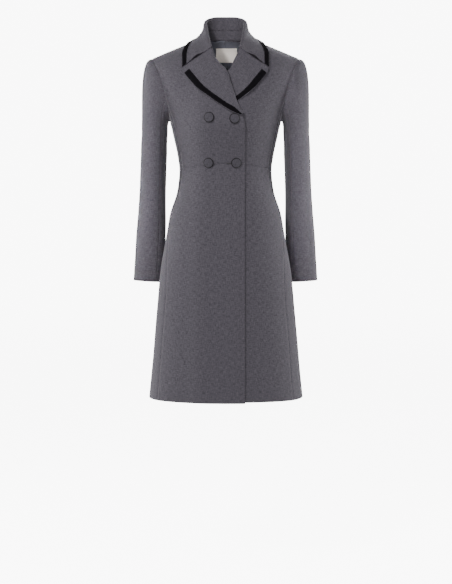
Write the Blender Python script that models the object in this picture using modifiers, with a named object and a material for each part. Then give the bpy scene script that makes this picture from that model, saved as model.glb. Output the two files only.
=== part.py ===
"""Fitted double-breasted long coat: hollow, filled out as it hangs on a figure, with nobody in it.

Sizes are in millimetres and the objects are built in metres. The wearer's right is at -X, the front faces
-Y and +Z is up. The origin lies between the two neck ends of the shoulder seams, where the coat is held.
"""

import math
from collections import namedtuple

import bmesh
import bpy
import numpy as np
from mathutils import Vector

MM = 0.001
COAT = "fitted_long_coat"

# Cloth
CLOTH = 2.0  # wool with its interlining
LINING = 1.0
LABEL = 0.8
VELVET = 1.0
SEAM_GAP = 0.3
LAYER_GAP = 0.4  # between a piece and what it lies on
ARMHOLE_GAP = 0.6

# Levels
HEM_Z = -961.0
LEFT_HEM_RAISE = 3.0  # the under front is cut a little shorter
WAIST_Z = -336.0  # waist seam at the centre front
WAIST_DIP = 12.0  # how much lower that seam is at the side-front seam
WAIST_FADE_Z = -456.0  # below this the rows of the skirt are level again
CHEST_Z = -240.0  # above this the rows tilt towards the shoulder seam
UNDERARM_Z = -221.0
BACK_NECK_Z = 4.0

# Shoulder seam, from the neck to the armhole, seen from the front
NECK_X, NECK_Z = 72.0, 2.0
SHOULDER_X, SHOULDER_Z = 198.5, -50.0
SHOULDER_Y = 8.0
CENTRE_SOFT = 25.0  # the slope of the shoulders rounds off this near the centre
FRONT_ROUND = 75.0  # height over which the front rounds back to the shoulder seam
BACK_ROUND = 60.0
BODY_POWER = 2.2  # 2 is an ellipse, more is squarer

# Front closing
OVERLAP = 50.0  # how far each front passes the centre
LAP_NEAR, LAP_FAR = 55.0, 110.0  # the upper front comes down to the chest between these
GORGE_Z, BREAK_Z = -38.0, -208.0  # top and bottom of the lapel's roll line
ROLL, BREAK_ROLL = 5.5, 3.2  # radius of the lapel's roll, at the top and at its break
LAPEL_EDGE_HEIGHT = 7.5  # of the lapel's face over the chest, at its edge
TUCK_START, TUCK_END = 0.19, 0.33  # where the left lapel flattens to pass under the right front
TUCK_LATER = 0.18  # its outer edge does so further down
TUCK_WIDTH = 3.0
LAPEL_TRIM_TOP, LAPEL_TRIM, COLLAR_TRIM = 16.5, 12.0, 15.0  # widths; the lapel's narrows to its middle
LAPEL_INSET, COLLAR_INSET = 1.0, 2.5  # how far in from the edge the trims lie

# Collar
COLLAR_ROLL = 5.5
COLLAR_GAP = 0.8
BACK_DROP, FRONT_DROP = 0.9, 0.5  # how steeply the fall leaves the fold

# Sleeve
BICEPS_Z = -250.0
CUFF_Z = -654.0
CUFF_TILT = 0.06
ARMHOLE_CENTRE_Z = -130.0
UNDER_SLEEVE_FROM, UNDER_SLEEVE_TO = 128.0, 236.0  # degrees round the arm, 0 outside, 90 in front

# Buttons, lining and label
BUTTON_STEPS = 20
LABEL_GAP = 2.2  # the flat label bridges the curve of the lining
LABEL_CENTRE_X, LABEL_WIDTH, LABEL_TOP_Z, LABEL_HEIGHT = 3.0, 60.0, -11.5, 39.0

# Rows and columns of the meshes. The panels share their levels, so that their seams have the same points.
SKIRT_LEVELS = [HEM_Z, -860.0, -765.0, -680.0, -610.0, -552.0, -503.0, -460.0, -420.0, -380.0, WAIST_Z]
SKIRT_ROWS, WAIST_ROWS, CHEST_ROWS = len(SKIRT_LEVELS) - 1, 5, 11
LOW_ROWS = SKIRT_ROWS + WAIST_ROWS
LEVELS = SKIRT_LEVELS + [WAIST_Z + (CHEST_Z - WAIST_Z) * i / WAIST_ROWS for i in range(1, WAIST_ROWS + 1)]
CENTRE_ROWS = 7  # rows over the chest level up to the back neck
ARMHOLE_ROWS = 2  # rows over the chest level up to the ends of the side panel's seams
FRONT_COLUMNS, BACK_COLUMNS, SIDE_COLUMNS, LINING_COLUMNS = 11, 9, 5, 4
LINING_ROWS = 10
CAP_ROWS, ARM_ROWS, TOP_COLUMNS, UNDER_COLUMNS = 8, 10, 14, 6
LAPEL_ROWS, LAPEL_TRIM_FROM, LEFT_TRIM_TO = 13, 1, 11  # the left trim ends under the right front
LAPEL_TOP_ROW = 0.04  # share of the lapel's length over its trim
ROLL_COLUMNS, LAPEL_COLUMNS, TRIM_COLUMNS = 4, 5, 1  # across a lapel, then one more to its edge
LAPEL_ACROSS = ROLL_COLUMNS + LAPEL_COLUMNS + TRIM_COLUMNS + 1
COLLAR_COLUMNS = 32
STAND_ROWS, UPPER_ROWS, FOLD_ROWS, FALL_ROWS = 2, 2, 4, 4  # up the stand, over the fold and down
COLLAR_DOWN = STAND_ROWS + UPPER_ROWS + FOLD_ROWS + FALL_ROWS + TRIM_COLUMNS + 1
EDGE_EASE = math.radians(70)  # columns crowd towards the side, where the body turns


def chest_rise(row):
    """Share of the height from the chest level to the shoulder seam; the rows crowd towards the seam."""
    return math.sin(row / CHEST_ROWS * math.pi / 2)


# Where the side-front and side-back seams meet the armhole
ARMHOLE_Z = CHEST_Z + (SHOULDER_Z - CHEST_Z) * chest_rise(ARMHOLE_ROWS)

Section = namedtuple("Section", "z half_width front back")
BODY = [
    Section(-961, 207.0, 160, 152),
    Section(-830, 194.5, 150, 150),
    Section(-700, 183.5, 141, 147),
    Section(-626, 176.0, 135, 144),
    Section(-564, 166.0, 129, 141),
    Section(-511, 157.0, 123, 135),
    Section(-456, 146.0, 115, 126),
    Section(-408, 130.5, 106, 111),
    Section(-351, 124.5, 102, 99),
    Section(-311, 129.6, 110, 100),
    Section(-262, 140.5, 125, 104),
    Section(-221, 150.0, 132, 108),
    Section(-180, 165.0, 126, 112),
    Section(-135, 186.0, 113, 113),
    Section(-107, 198.0, 104, 109),
    Section(-81, 208.0, 96, 103),
    Section(-36, 222.0, 82, 88),
    Section(5, 226.0, 71, 73),
]

# Where the seams beside the side panel run, as a share of the body's half width.
SideSeam = namedtuple("SideSeam", "z front_share back_share")
SIDE_SEAMS = [
    SideSeam(-961, 0.864, 0.85),
    SideSeam(-667, 0.868, 0.87),
    SideSeam(-567, 0.930, 0.89),
    SideSeam(-490, 0.972, 0.91),
    SideSeam(-424, 0.968, 0.91),
    SideSeam(-345, 0.930, 0.91),
    SideSeam(-262, 0.935, 0.91),
    SideSeam(ARMHOLE_Z, 0.938, 0.93),
]

Armhole = namedtuple("Armhole", "z front_x back_x")
ARMHOLE = [
    Armhole(ARMHOLE_Z, 152.5, 151.2),
    Armhole(-165, 158.0, 156.0),
    Armhole(-135, 165.5, 163.5),
    Armhole(-107, 174.0, 172.5),
    Armhole(-81, 184.0, 183.5),
    Armhole(SHOULDER_Z, SHOULDER_X, SHOULDER_X),
]

# The inner edge of a front: front edge, roll line, neck. Negative x is past the centre.
FrontEdge = namedtuple("FrontEdge", "z x")
FRONT_EDGE = [
    FrontEdge(-961, -OVERLAP),
    FrontEdge(-231, -OVERLAP),
    FrontEdge(-219, -48.3),
    FrontEdge(-208, -42.0),
    FrontEdge(-196, -34.5),
    FrontEdge(-160, -20.0),
    FrontEdge(-124, -7.4),
    FrontEdge(-101, 0.0),
    FrontEdge(-87, 12.5),
    FrontEdge(-75, 22.5),
    FrontEdge(-63, 29.5),
    FrontEdge(-48, 35.0),
    FrontEdge(GORGE_Z, 38.0),
    FrontEdge(-10, 59.0),
    FrontEdge(NECK_Z, NECK_X),
]

# How far the right front stands out over what it covers: the left front, and higher up its lapel.
Lap = namedtuple("Lap", "z lift")
LAP = [Lap(-961, 4.0), Lap(-270, 4.0), Lap(-224, 6.8), Lap(-88, 6.8), Lap(-50, 0.0), Lap(5, 0.0)]

# The outer edge of a lapel, from its point down to its break.
LapelEdge = namedtuple("LapelEdge", "share x z")
LAPEL_EDGE = [
    LapelEdge(0.0, 112.0, -85.5),
    LapelEdge(0.04, 107.3, -100.1),
    LapelEdge(0.145, 94.1, -116.7),
    LapelEdge(0.31, 71.2, -143.2),
    LapelEdge(0.475, 44.8, -164.1),
    LapelEdge(0.66, 13.6, -186.6),
    LapelEdge(0.8, -10.1, -201.7),
    LapelEdge(0.9, -23.5, -208.4),
    LapelEdge(1.0, -36.6, -212.7),
]

# The collar from the centre back to its front end. Turns are degrees over the shoulder, 0 on its seam.
CollarFoot = namedtuple("CollarFoot", "share seam_x seam_turn edge_x edge_turn edge_height")
COLLAR_FOOT = [
    CollarFoot(0.0, 0.0, -51, 0.0, -74, 5.0),
    CollarFoot(0.2, 24.0, -45, 31.0, -64, 5.0),
    CollarFoot(0.4, 48.0, -31, 62.0, -48, 4.6),
    CollarFoot(0.55, 66.0, -14, 85.0, -27, 3.6),
    CollarFoot(0.65, 72.0, 4, 97.5, 2, 3.1),
    CollarFoot(0.75, 66.5, 28, 105.0, 31, 4.0),
    CollarFoot(0.88, 53.5, 54, 111.0, 61, 5.5),
    CollarFoot(1.0, 40.5, 73.5, 114.5, 85, 6.5),
]
CollarFold = namedtuple("CollarFold", "share x y z out_x out_y out_z up_x up_y up_z")
COLLAR_FOLD = [
    CollarFold(0.0, 0.0, 66.0, 71.0, 0.00, 1.00, 0.00, 0.00, 0.00, 1.00),
    CollarFold(0.2, 24.0, 62.0, 70.5, 0.33, 0.94, 0.00, -0.05, 0.00, 1.00),
    CollarFold(0.4, 44.0, 46.0, 65.0, 0.72, 0.69, 0.00, -0.10, 0.00, 1.00),
    CollarFold(0.55, 54.5, 22.0, 53.0, 0.97, 0.25, 0.00, -0.20, 0.00, 1.00),
    CollarFold(0.65, 53.5, 4.0, 43.0, 1.00, 0.00, 0.05, -0.28, 0.05, 0.96),
    CollarFold(0.75, 50.5, -15.0, 31.0, 0.96, -0.25, 0.10, -0.35, 0.10, 0.93),
    CollarFold(0.85, 46.5, -40.0, 13.0, 0.80, -0.55, 0.25, -0.45, 0.20, 0.85),
    CollarFold(0.93, 40.0, -62.0, -10.0, 0.45, -0.75, 0.45, -0.60, 0.30, 0.72),
    CollarFold(1.0, 34.4, -79.8, -29.9, 0.08, -0.79, 0.60, -0.74, 0.37, 0.56),
]
CollarHeading = namedtuple("CollarHeading", "share x y z")
COLLAR_HEADING = [
    CollarHeading(0.0, 0.00, 0.25, -0.97),
    CollarHeading(0.4, 0.45, 0.35, -0.80),
    CollarHeading(0.65, 0.92, 0.00, -0.40),
    CollarHeading(0.8, 0.85, -0.25, -0.50),
    CollarHeading(1.0, 0.80, -0.25, -0.60),
]

SleeveRing = namedtuple("SleeveRing", "z centre_x centre_y half_width half_depth")
SLEEVE = [
    SleeveRing(CUFF_Z, 212.5, 70, 40.7, 44),
    SleeveRing(-588, 208.1, 67, 40.6, 46),
    SleeveRing(-539, 205.1, 62, 40.5, 49),
    SleeveRing(-506, 202.8, 57, 39.7, 51),
    SleeveRing(-473, 201.1, 51, 38.3, 53),
    SleeveRing(-440, 199.5, 45, 37.0, 55),
    SleeveRing(-391, 197.2, 35, 35.8, 58),
    SleeveRing(-310, 193.7, 19, 35.7, 62),
    SleeveRing(BICEPS_Z, 191.3, 8, 35.3, 63),
]

# The sink takes up the sag between the front's points, so that each shank stands on the cloth.
ButtonPlace = namedtuple("ButtonPlace", "name x z sink")
BUTTONS = [
    ButtonPlace("upper_outer_button", 41.3, -217.5, 1.0),
    ButtonPlace("upper_edge_button", -23.0, -220.5, 1.7),
    ButtonPlace("lower_outer_button", 43.0, -334, -0.2),
    ButtonPlace("lower_edge_button", -27.4, -334, -0.15),
]
ButtonTurn = namedtuple("ButtonTurn", "radius height")
BUTTON_PROFILE = [
    ButtonTurn(0.0, 6.5),
    ButtonTurn(6.0, 6.2),
    ButtonTurn(10.5, 5.3),
    ButtonTurn(13.2, 4.2),
    ButtonTurn(14.0, 3.3),
    ButtonTurn(13.0, 2.6),
    ButtonTurn(4.5, 2.4),
    ButtonTurn(4.0, 0.4),
    ButtonTurn(0.0, 0.4),
]


def through(keys, values):
    """A smooth curve through a table's rows that does not overshoot between them."""
    keys = np.asarray(keys, float)
    values = np.asarray(values, float)
    steps = np.diff(keys)
    rises = np.diff(values) / steps
    slopes = np.zeros_like(keys)
    slopes[0] = rises[0]
    slopes[-1] = rises[-1]
    for i in range(1, len(steps)):
        if rises[i - 1] * rises[i] > 0:
            slopes[i] = 2 * rises[i - 1] * rises[i] / (rises[i - 1] + rises[i])

    def at(key):
        i = min(max(int(np.searchsorted(keys, key)) - 1, 0), len(steps) - 1)
        t = (key - keys[i]) / steps[i]
        return (
            (1 + 2 * t) * (1 - t) ** 2 * values[i]
            + t * (1 - t) ** 2 * steps[i] * slopes[i]
            + t * t * (3 - 2 * t) * values[i + 1]
            + t * t * (t - 1) * steps[i] * slopes[i + 1]
        )

    return at


def lookup(rows):
    """The columns of a table as smooth curves over its first column."""
    keys = [row[0] for row in rows]
    curves = [through(keys, [row[i] for row in rows]) for i in range(1, len(rows[0]))]
    return lambda key: [curve(key) for curve in curves]


body_size = lookup(BODY)
side_seams = lookup(SIDE_SEAMS)
armhole_x = lookup(ARMHOLE)
front_edge = lookup(FRONT_EDGE)
lap_lift = lookup(LAP)
lapel_edge = lookup(LAPEL_EDGE)
collar_foot = lookup(COLLAR_FOOT)
collar_fold = lookup(COLLAR_FOLD)
collar_heading = lookup(COLLAR_HEADING)
sleeve_ring = lookup(SLEEVE)


def between(a, b, share):
    return a + (b - a) * share


def ramp(value, start, end):
    """0 up to the start, 1 from the end, smooth between."""
    t = min(max((value - start) / (end - start), 0.0), 1.0)
    return t * t * (3 - 2 * t)


def unit(vector):
    return vector / np.linalg.norm(vector)


def hermite(start, start_pull, end, end_pull, t):
    return (
        (1 + 2 * t) * (1 - t) ** 2 * start
        + t * (1 - t) ** 2 * start_pull
        + t * t * (3 - 2 * t) * end
        + t * t * (t - 1) * end_pull
    )


def mirrored(point, side):
    """A point of the wearer's left half, or its mirror image on the right."""
    return np.array([side * point[0], point[1], point[2]])


def shoulder_z(x):
    out = abs(x) if abs(x) > CENTRE_SOFT else (x * x + CENTRE_SOFT**2) / (2 * CENTRE_SOFT)
    return NECK_Z + (SHOULDER_Z - NECK_Z) * (out - NECK_X) / (SHOULDER_X - NECK_X)


def body_y(x, z, facing):
    """Depth of the coat's face at a place seen from the front; facing -1 is the front, 1 the back."""
    half_width, front, back = body_size(z)
    inside = max(1 - (abs(x) / half_width) ** BODY_POWER, 0.0) ** (1 / BODY_POWER)
    depth = facing * inside * (front if facing < 0 else back)
    height = FRONT_ROUND if facing < 0 else BACK_ROUND
    below = min(max((shoulder_z(x) - z) / height, 0.0), 1.0)
    return SHOULDER_Y + (depth - SHOULDER_Y) * math.sqrt(1 - (1 - below) ** 2)


def body_point(x, z, facing):
    return np.array([x, body_y(x, z, facing), z])


def body_normal(x, z, facing):
    step = 0.2
    slope_x = (body_y(x + step, z, facing) - body_y(x - step, z, facing)) / (2 * step)
    slope_z = (body_y(x, z + step, facing) - body_y(x, z - step, facing)) / (2 * step)
    return unit(facing * np.array([-slope_x, 1.0, -slope_z]))


def over_shoulder(x, turn):
    """A point so many degrees over the shoulder: behind its seam below 0, in front of it above 0."""
    facing = -1 if turn > 0 else 1
    height = FRONT_ROUND if turn > 0 else BACK_ROUND
    return body_point(x, shoulder_z(x) - height * (1 - math.cos(math.radians(turn))), facing)


def over_shoulder_normal(x, turn):
    along = over_shoulder(x + 0.5, turn) - over_shoulder(x - 0.5, turn)
    across = over_shoulder(x, turn - 0.5) - over_shoulder(x, turn + 0.5)
    return unit(np.cross(along, across))


def eased(u):
    return math.sin(EDGE_EASE * u) / math.sin(EDGE_EASE)


def side_x(z, facing):
    """Half width at the outer edge of a front or back: side seam below the armhole, then the armhole."""
    column = 0 if facing < 0 else 1
    if z > ARMHOLE_Z:
        return armhole_x(z)[column]
    return side_seams(z)[column] * body_size(z)[0]


def lift(side, x, z):
    """How far a front stands out from the body's face; only the right one lies over something."""
    if side > 0:
        return 0.0
    return lap_lift(z)[0] * (1 - ramp(x, LAP_NEAR, LAP_FAR))


def front_face(side, x, z, height=0.0):
    """A point of a front's face, or so high over it."""
    point = body_point(x, z, -1) + body_normal(x, z, -1) * (lift(side, x, z) + height)
    return mirrored(point, side)


def level(row):
    return float(np.interp(row, range(len(LEVELS)), LEVELS))


def waist_dip(z):
    """How much lower a row runs at the side-front seam than at the centre front."""
    far = WAIST_FADE_Z if z < WAIST_Z else CHEST_Z
    return WAIST_DIP * min(max((z - far) / (WAIST_Z - far), 0.0), 1.0) ** 2


def front_bodice(side):
    def surface(u, v):
        across = eased(u)
        row = v * (WAIST_ROWS + CHEST_ROWS)
        rise = chest_rise(max(row - WAIST_ROWS, 0.0))
        if row <= WAIST_ROWS:
            inner_z = level(SKIRT_ROWS + row)
            outer_z = inner_z - waist_dip(inner_z)
        else:
            inner_z = between(CHEST_Z, NECK_Z, rise)
            outer_z = between(CHEST_Z, SHOULDER_Z, rise)
        z = between(inner_z, outer_z, between(across**2, across, rise))
        x = between(front_edge(inner_z)[0], side_x(outer_z, -1), across)
        if v == 1:
            return mirrored(np.array([x, SHOULDER_Y, shoulder_z(x)]), side)
        return front_face(side, x, z)

    return surface


def front_skirt(side):
    raise_hem = LEFT_HEM_RAISE if side > 0 else 0.0

    def surface(u, v):
        across = eased(u)
        row = v * SKIRT_ROWS
        outer_z = level(row) - waist_dip(level(row))
        inner_z = level(row) + raise_hem * max(1 - row, 0.0)
        x = between(-OVERLAP, side_x(outer_z, -1), across)
        return front_face(side, x, between(inner_z, outer_z, across**2))

    return surface


def side_panel(side):
    def surface(u, v):
        row = v * (LOW_ROWS + ARMHOLE_ROWS)
        z = level(row) - waist_dip(level(row)) * (1 - u)
        if row > LOW_ROWS:
            top = ARMHOLE_Z - (ARMHOLE_Z - UNDERARM_Z) * math.sin(math.pi * u)
            z = between(CHEST_Z, top, chest_rise(row - LOW_ROWS) / chest_rise(ARMHOLE_ROWS))
        half_width, front, back = body_size(z)
        front_share, back_share = side_seams(z)
        start = math.asin(front_share ** (BODY_POWER / 2))
        end = math.pi - math.asin(back_share ** (BODY_POWER / 2))
        angle = between(start, end, u)
        reach = abs(math.cos(angle)) ** (2 / BODY_POWER)
        y = -front * reach if angle < math.pi / 2 else back * reach
        return mirrored(np.array([half_width * math.sin(angle) ** (2 / BODY_POWER), y, z]), side)

    return surface


def back_panel(side):
    def surface(u, v):
        across = eased(u)
        row = v * (LOW_ROWS + CHEST_ROWS)
        if row <= LOW_ROWS:
            inner_x = 0.0
            inner_z = level(row)
            outer_z = inner_z
        else:
            # Up the centre seam, then along the neck to the shoulder seam.
            row -= LOW_ROWS
            outer_z = between(CHEST_Z, SHOULDER_Z, chest_rise(row))
            neck = max((row - CENTRE_ROWS) / (CHEST_ROWS - CENTRE_ROWS), 0.0)
            inner_x = NECK_X * math.sin(neck * math.pi / 2)
            centre = min(chest_rise(row) / chest_rise(CENTRE_ROWS), 1.0)
            inner_z = between(CHEST_Z, BACK_NECK_Z, centre) + (NECK_Z - BACK_NECK_Z) * inner_x / NECK_X
        x = between(inner_x, side_x(outer_z, 1), across)
        if v == 1:
            return mirrored(np.array([x, SHOULDER_Y, shoulder_z(x)]), side)
        return mirrored(body_point(x, between(inner_z, outer_z, across), 1), side)

    return surface


def armhole_loop():
    """Points round the armhole of the left half, by their angle about its centre, in rising order."""
    points = []
    for step in range(40):
        z = between(ARMHOLE_Z, SHOULDER_Z, math.sin(step / 40 * math.pi / 2))
        points.append(body_point(side_x(z + 1e-6, -1), z, -1))
        points.append(body_point(side_x(z + 1e-6, 1), z, 1))
    points.append(np.array([SHOULDER_X, SHOULDER_Y, SHOULDER_Z]))
    underarm = side_panel(1)
    points.extend(underarm(step / 24, 1.0) for step in range(1, 24))
    angles = [math.atan2(-point[1], point[2] - ARMHOLE_CENTRE_Z) for point in points]
    order = np.argsort(angles)
    return np.array(angles)[order], np.array(points)[order]


LOOP_ANGLES, LOOP_POINTS = armhole_loop()


def armhole_point(angle):
    turn = math.atan2(math.sin(angle), math.cos(angle))
    return np.array([np.interp(turn, LOOP_ANGLES, LOOP_POINTS[:, i], period=math.tau) for i in range(3)])


def sleeve_point(angle, z):
    centre_x, centre_y, half_width, half_depth = sleeve_ring(z)
    across = math.cos(angle) * half_width
    tilt = CUFF_TILT * (BICEPS_Z - z) / (BICEPS_Z - CUFF_Z)
    return np.array([centre_x + across, centre_y - math.sin(angle) * half_depth, z + tilt * across])


def sleeve(side, from_degrees, to_degrees):
    split = CAP_ROWS / (CAP_ROWS + ARM_ROWS)

    def surface(u, v):
        angle = math.radians(between(from_degrees, to_degrees, u))
        if v > split:
            z = between(BICEPS_Z, CUFF_Z, (v - split) / (1 - split))
            return mirrored(sleeve_point(angle, z), side)
        start = armhole_point(angle) + np.array([ARMHOLE_GAP, 0.0, 0.0])
        end = sleeve_point(angle, BICEPS_Z)
        reach = np.linalg.norm(end - start)
        leave = unit(np.array([1.0, -0.2 * math.sin(angle), -0.6 * math.sin(angle) ** 2]))
        arrive = unit(sleeve_point(angle, BICEPS_Z - 5) - end)
        return mirrored(hermite(start, leave * 0.55 * reach, end, arrive * 1.05 * reach, v / split), side)

    return surface


def band_share(part, length, open_columns, trim_width, trim_inset):
    """Share of the way to a trimmed edge, by columns: the open cloth, the trim's own and one beside it."""
    inset = min(trim_inset, 0.2 * length)
    start = length - inset - min(trim_width, 0.5 * length)
    columns = [0, open_columns, open_columns + TRIM_COLUMNS, open_columns + TRIM_COLUMNS + 1]
    return float(np.interp(part, columns, [0.0, start, length - inset, length])) / length


def lapel(side):
    def surface(u, v):
        v = float(np.interp(v * LAPEL_ROWS, [0, 1, LAPEL_ROWS], [0, LAPEL_TOP_ROW, 1]))
        roll_z = between(GORGE_Z, BREAK_Z, v)
        roll_x = front_edge(roll_z)[0]
        edge_x, edge_z = lapel_edge(v)
        width = math.hypot(edge_x - roll_x, edge_z - roll_z)
        radius = between(ROLL, BREAK_ROLL, ramp(v, 0.5, 1.0))
        top = LAYER_GAP + 2 * radius
        column = u * LAPEL_ACROSS
        if column < ROLL_COLUMNS:
            turn = math.pi * (column / ROLL_COLUMNS - 0.5)
            along = -radius * math.cos(turn)
            height = LAYER_GAP + radius + radius * math.sin(turn)
            flat_along = TUCK_WIDTH * column / ROLL_COLUMNS
        else:
            trim_width = between(LAPEL_TRIM_TOP, LAPEL_TRIM, ramp(v, 0.1, 0.55))
            share = band_share(column - ROLL_COLUMNS, width, LAPEL_COLUMNS, trim_width, LAPEL_INSET)
            along = width * share
            height = LAPEL_EDGE_HEIGHT + (top - LAPEL_EDGE_HEIGHT) * (1 - share) ** 1.6
            flat_along = between(TUCK_WIDTH, width, share)
        if side > 0:
            # The lower part of the left lapel lies flat under the right front.
            tuck = ramp(v - TUCK_LATER * ramp(u, 0.55, 1.0), TUCK_START, TUCK_END)
            along = between(along, flat_along, tuck)
            height = between(height, LAYER_GAP + CLOTH, tuck)
        x = roll_x + (edge_x - roll_x) * along / width
        z = roll_z + (edge_z - roll_z) * along / width
        return front_face(side, x, z, height)

    return surface


def collar(u, v):
    share = abs(2 * u - 1)
    side = -1 if u < 0.5 else 1
    seam_x, seam_turn, edge_x, edge_turn, edge_height = collar_foot(share)
    fold = collar_fold(share)
    apex = np.array(fold[0:3])
    out = unit(np.array(fold[3:6]))
    up = np.array(fold[6:9])
    up = unit(up - out * up.dot(out))
    centre = apex - up * COLLAR_ROLL
    row = v * COLLAR_DOWN
    fold_row = STAND_ROWS + UPPER_ROWS
    fall_row = fold_row + FOLD_ROWS
    if row < fold_row:
        foot = over_shoulder(seam_x, seam_turn) + over_shoulder_normal(seam_x, seam_turn) * COLLAR_GAP
        head = centre - out * COLLAR_ROLL
        pull = np.linalg.norm(head - foot)
        point = hermite(foot, (head - foot) * 0.8, head, up * pull, row / fold_row)
    elif row < fall_row:
        turn = math.pi * ((row - fold_row) / FOLD_ROWS - 0.5)
        point = centre + (out * math.sin(turn) + up * math.cos(turn)) * COLLAR_ROLL
    else:
        head = centre + out * COLLAR_ROLL
        edge = over_shoulder(edge_x, edge_turn)
        edge = edge + over_shoulder_normal(edge_x, edge_turn) * edge_height
        pull = np.linalg.norm(edge - head)
        heading = unit(np.array(collar_heading(share)))
        rest = band_share(row - fall_row, pull, FALL_ROWS, COLLAR_TRIM, COLLAR_INSET)
        drop = between(BACK_DROP, FRONT_DROP, ramp(share, 0.6, 0.85))
        point = hermite(head, -up * pull * drop, edge, heading * pull * 0.8, rest)
    return mirrored(point, side)


def part_of(surface, from_u, to_u, from_v, to_v):
    return lambda u, v: surface(between(from_u, to_u, u), between(from_v, to_v, v))


def normal_at(surface, u, v, turn):
    """The face's outward normal, from steps along it that stay inside the piece."""
    step = 1e-3
    across = surface(min(u + step, 1.0), v) - surface(max(u - step, 0.0), v)
    along = surface(u, min(v + step, 1.0)) - surface(u, max(v - step, 0.0))
    return turn * unit(np.cross(across, along))


def lying_on(surface, turn, height):
    """The same piece of surface, moved out."""
    return lambda u, v: surface(u, v) + normal_at(surface, u, v, turn) * height


def inside_back(depth, centre_x, half_width, bottom_z, top_z):
    """A patch inside the back, so deep behind its face."""

    def surface(u, v):
        x = centre_x + between(-half_width, half_width, u)
        z = between(bottom_z, top_z, v)
        return body_point(x, z, 1) - body_normal(x, z, 1) * depth

    return surface


def material(name, colour, roughness):
    made = bpy.data.materials.new(name)
    made.use_nodes = True
    shader = made.node_tree.nodes["Principled BSDF"]
    shader.inputs["Base Color"].default_value = (*colour, 1.0)
    shader.inputs["Roughness"].default_value = roughness
    return made


def add_object(name, mesh, surface_material):
    mesh.materials.append(surface_material)
    made = bpy.data.objects.new(name, mesh)
    coat.objects.link(made)
    return made


def wall(name, surface, turn, columns, rows, thickness, surface_material, gap=SEAM_GAP):
    """A piece of cloth: its face from the surface, its back so far inside, closed along its edges."""
    mesh_work = bmesh.new()
    bmesh.ops.create_grid(mesh_work, x_segments=columns, y_segments=rows, size=0.5)
    column_of = mesh_work.verts.layers.int.new("column")
    row_of = mesh_work.verts.layers.int.new("row")
    for vert in mesh_work.verts:
        vert[column_of] = round((vert.co.x + 0.5) * columns)
        vert[row_of] = round((vert.co.y + 0.5) * rows)
    face = np.array([[surface(i / columns, j / rows) for j in range(rows + 1)] for i in range(columns + 1)])
    back = face.copy()
    for i in range(columns + 1):
        for j in range(rows + 1):
            back[i, j] -= normal_at(surface, i / columns, j / rows, turn) * thickness
    # Each edge is drawn back by half a seam gap.
    for edge, beside in ((0, 1), (-1, -2)):
        for lines in (lambda array, k: array[k], lambda array, k: array[:, k]):
            pull = lines(face, beside) - lines(face, edge)
            pull = pull / np.linalg.norm(pull, axis=1)[:, None] * gap / 2
            lines(face, edge)[:] += pull
            lines(back, edge)[:] += pull
    grown = bmesh.ops.extrude_face_region(mesh_work, geom=mesh_work.faces[:], use_keep_orig=True)
    inner = {item for item in grown["geom"] if isinstance(item, bmesh.types.BMVert)}
    for vert in mesh_work.verts:
        layer = back if vert in inner else face
        vert.co = Vector(layer[vert[column_of], vert[row_of]]) * MM
    bmesh.ops.recalc_face_normals(mesh_work, faces=mesh_work.faces)
    mesh = bpy.data.meshes.new(name)
    mesh_work.to_mesh(mesh)
    mesh_work.free()
    mesh.polygons.foreach_set("use_smooth", [True] * len(mesh.polygons))
    return add_object(name, mesh, surface_material)


def button(place, surface_material):
    """A covered button, turned about its own axis and set square on the right front."""
    mesh = bpy.data.meshes.new(place.name)
    points = [(turn.radius * MM, 0.0, turn.height * MM) for turn in BUTTON_PROFILE]
    mesh.from_pydata(points, [(i, i + 1) for i in range(len(points) - 1)], [])
    made = add_object(place.name, mesh, surface_material)
    turned = made.modifiers.new("turned", "SCREW")
    turned.steps = BUTTON_STEPS
    turned.render_steps = BUTTON_STEPS
    turned.use_merge_vertices = True
    turned.merge_threshold = 0.0001
    turned.use_normal_calculate = True
    turned.use_smooth_shade = True
    normal = Vector(mirrored(body_normal(place.x, place.z, -1), -1))
    made.location = Vector(front_face(-1, place.x, place.z, -place.sink)) * MM
    made.rotation_euler = normal.to_track_quat("Z", "Y").to_euler()
    return made


for old in list(bpy.data.objects):
    bpy.data.objects.remove(old, do_unlink=True)
coat = bpy.data.collections.new(COAT)
bpy.context.scene.collection.children.link(coat)

wool = material("grey_wool", (0.115, 0.107, 0.125), 0.85)
velvet = material("black_velvet", (0.006, 0.005, 0.008), 0.9)
satin = material("blue_grey_lining", (0.062, 0.062, 0.078), 0.4)
label = material("ivory_label", (0.75, 0.68, 0.62), 0.6)

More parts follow.
